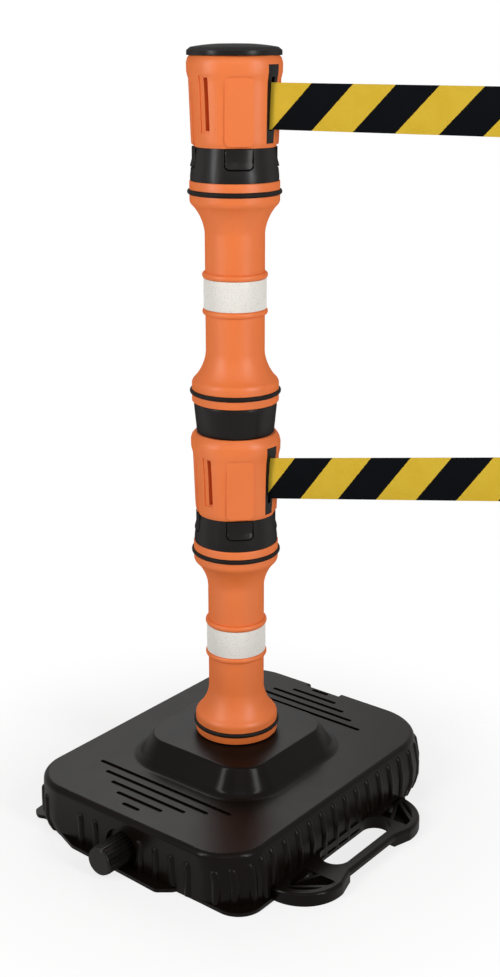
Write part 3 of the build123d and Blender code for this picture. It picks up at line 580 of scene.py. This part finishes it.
# %% Webbing
STRIPE_PITCH, FRAY = 92.6 * MM, 1.2 * MM
STRIPE_LEAN = -0.95  # run of a stripe per rise across the belt
webbing, tree, shader = new_material("polyester_webbing_striped")
uv = add(tree, "ShaderNodeUVMap", uv_map="webbing").outputs[0]
split = add(tree, "ShaderNodeSeparateXYZ", {0: uv})
run, rise = split.outputs[0], split.outputs[1]
lean = add(tree, "ShaderNodeMath", {0: rise, 1: STRIPE_LEAN, 2: run}, operation="MULTIPLY_ADD")
fuzz = noise(tree, uv, 2.5, 2.0)
frayed = add(tree, "ShaderNodeMath", {0: fuzz.outputs[0], 1: FRAY, 2: lean.outputs[0]},
             operation="MULTIPLY_ADD")
count = add(tree, "ShaderNodeMath", {0: frayed.outputs[0], 1: STRIPE_PITCH}, operation="DIVIDE")
phase = add(tree, "ShaderNodeMath", {0: count.outputs[0], 1: 1.0, 2: 0.0}, operation="WRAP")
is_yellow = add(tree, "ShaderNodeMapRange", {0: phase.outputs[0], 1: 0.497, 2: 0.503, 3: 0.0, 4: 1.0})
fade = noise(tree, uv, 25.0, 3.0)
yellow = blend(tree, fade.outputs[0], linear("#CFA92A"), linear("#DABA40"))
black = blend(tree, fade.outputs[0], linear("#05070A"), linear("#0A0C10"))
print_colour = blend(tree, is_yellow.outputs[0], black.outputs[2], yellow.outputs[2])
WAVE = 2 * pi / 20  # a wave texture at scale 1 repeats every 0.314 m
warp = add(tree, "ShaderNodeTexWave", {"Vector": uv, "Scale": WAVE * per_metre(2.0)}, bands_direction="Y")
weft = add(tree, "ShaderNodeTexWave", {"Vector": uv, "Scale": WAVE * per_metre(2.0)}, bands_direction="X")
weave = add(tree, "ShaderNodeMath", {0: warp.outputs[1], 1: weft.outputs[1]}, operation="MULTIPLY")
thread = add(tree, "ShaderNodeBump", {"Height": weave.outputs[0], "Distance": 0.2 * MM, "Strength": 0.5})
set_inputs(tree, shader, {"Base Color": print_colour.outputs[2], "Roughness": 0.72,
                          "Normal": thread.outputs[0], "Specular IOR Level": 0.04, "Sheen Weight": 0.01,
                          "Sheen Roughness": 0.5})
print("webbing:", webbing.name)

# %% [markdown]
# The roll inside each unit is seen only through the slot. Its turns are drawn as fine rings
# about the pole's axis, yellow and black as the stripes come round.

# %% Wound webbing and steel
wound_webbing, tree, shader = new_material("polyester_webbing_wound")
place = add(tree, "ShaderNodeTexCoord").outputs["Object"]
turns = add(tree, "ShaderNodeTexWave", {"Vector": place, "Scale": WAVE * per_metre(2.0)},
            wave_type="RINGS", rings_direction="Z")
tone = blend(tree, turns.outputs[1], linear("#15171B"), linear("#D5B23A"))
set_inputs(tree, shader, {"Base Color": tone.outputs[2], "Roughness": 0.75})

steel, tree, shader = new_material("spring_steel_rolled")
place = add(tree, "ShaderNodeTexCoord").outputs["Object"]
stretch = add(tree, "ShaderNodeMapping", {"Vector": place, "Scale": (1.0, 1.0, 14.0)})
lines = noise(tree, stretch.outputs[0], 4.0, 4.0)
tone = blend(tree, lines.outputs[0], linear("#A9ABAE"), linear("#C9CBCD"))
rough = add(tree, "ShaderNodeMapRange", {0: lines.outputs[0], 1: 0.3, 2: 0.7, 3: 0.22, 4: 0.4})
set_inputs(tree, shader, {"Base Color": tone.outputs[2], "Roughness": rough.outputs[0], "Metallic": 1.0})
print("inside:", wound_webbing.name, steel.name)

# %% [markdown]
# ## Dressing every piece
#
# New pieces and the CAD nodes that stay in view each get one of these materials.

# %% Assign materials
def dress(pieces, material):
    for piece in pieces:
        piece.data.materials.clear()
        piece.data.materials.append(material)


dress(posts + orange_mouldings, orange_plastic)
dress(black_mouldings + [adaptor, lid, filler_cap] + list(clips.values()), black_plastic)
dress([tank, tray, skirt_ribs], tank_plastic)
dress(rings, rubber)
dress(bands, reflective_film)
dress(belts.values(), webbing)
inside = {"spindle": steel, "power_spring": steel, "bridge_screws": steel, "spool": inner_plastic,
          "drum_cover": inner_plastic, "bridge": inner_plastic, "belt_roll": wound_webbing,
          "spigot": orange_plastic}
for level in ("lower", "upper"):
    for part, material in inside.items():
        dress([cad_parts[f"{level}_{part}"]], material)
dress([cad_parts["filler_seal"]], rubber)
print(len(bpy.data.materials), "materials in the file")

# %% [markdown]
# ## Floor and light
#
# The photograph is a studio picture on white. Two tall soft boxes, one on each side of
# the camera, draw the bright lines on the black collars and on the corners of the base. A broad
# one by the camera gives the orange its pale sheen, and one behind lights the far side. The
# floor is pale and keeps the soft shadow under the base; far away it turns plain white.

# %% Floor
def seen_directly(tree):
    """1 for what the eye sees straight, in a gloss or through glass, and 0 for light on its way."""
    path = add(tree, "ShaderNodeLightPath")
    seen = path.outputs["Is Camera Ray"]
    for ray in ("Is Glossy Ray", "Is Transmission Ray"):
        seen = add(tree, "ShaderNodeMath", {0: seen, 1: path.outputs[ray]}, operation="MAXIMUM").outputs[0]
    return seen


bm = bmesh.new()
bmesh.ops.create_grid(bm, x_segments=1, y_segments=1, size=12.0)
floor_mesh = bpy.data.meshes.new("floor")
bm.to_mesh(floor_mesh)
bm.free()
floor = bpy.data.objects.new("floor", floor_mesh)
bpy.context.collection.objects.link(floor)
paper = bpy.data.materials.new("white_studio_paper")
paper.use_nodes = True
tree = paper.node_tree
tree.nodes.clear()
matte = add(tree, "ShaderNodeBsdfDiffuse", {"Color": (0.95, 0.95, 0.95, 1)})
glow = add(tree, "ShaderNodeEmission", {"Color": (1, 1, 1, 1), "Strength": 1.0})
place = add(tree, "ShaderNodeTexCoord").outputs["Object"]
away = add(tree, "ShaderNodeVectorMath", {0: place}, operation="LENGTH")
far = add(tree, "ShaderNodeMapRange", {0: away.outputs["Value"], 1: 0.2, 2: 0.5, 3: 0.75, 4: 1.0},
          interpolation_type="SMOOTHSTEP")
share = add(tree, "ShaderNodeMath", {0: far.outputs[0], 1: seen_directly(tree)}, operation="MULTIPLY")
cover = add(tree, "ShaderNodeMixShader", {0: share.outputs[0], 1: matte.outputs[0], 2: glow.outputs[0]})
add(tree, "ShaderNodeOutputMaterial", {"Surface": cover.outputs[0]})
floor.data.materials.append(paper)

# %% World and lamps
world = bpy.data.worlds.new("white_studio")
bpy.context.scene.world = world
world.use_nodes = True
tree = world.node_tree
tree.nodes.clear()
ambient = add(tree, "ShaderNodeBackground", {"Color": (1, 1, 1, 1), "Strength": 0.12})
white = add(tree, "ShaderNodeBackground", {"Color": (1, 1, 1, 1), "Strength": 1.0})
cover = add(tree, "ShaderNodeMixShader",
            {0: seen_directly(tree), 1: ambient.outputs[0], 2: white.outputs[0]})
add(tree, "ShaderNodeOutputWorld", {"Surface": cover.outputs[0]})


def softbox(name, place, target, size, power):
    lamp = bpy.data.lights.new(name, "AREA")
    lamp.shape = "RECTANGLE"
    lamp.size, lamp.size_y = size
    lamp.energy = power
    holder = bpy.data.objects.new(name, lamp)
    bpy.context.collection.objects.link(holder)
    holder.location = place
    holder.rotation_euler = (Vector(target) - Vector(place)).to_track_quat("-Z", "Y").to_euler()
    return holder


softbox("left_softbox", (-1.91, 0.58, 1.3), (0, 0, 0.6), (0.40, 1.7), 24.0)
softbox("right_softbox", (-0.24, -1.98, 1.3), (0, 0, 0.6), (0.40, 1.7), 27.0)
softbox("front_softbox", (-1.2, -0.9, 1.5), (0, 0, 0.5), (0.9, 0.9), 2.5)
softbox("back_softbox", (1.5, 1.5, 1.9), (0, 0, 0.4), (1.2, 1.2), 17.0)
bpy.context.scene.view_settings.view_transform = "Standard"
print("lit by the world and four soft boxes")
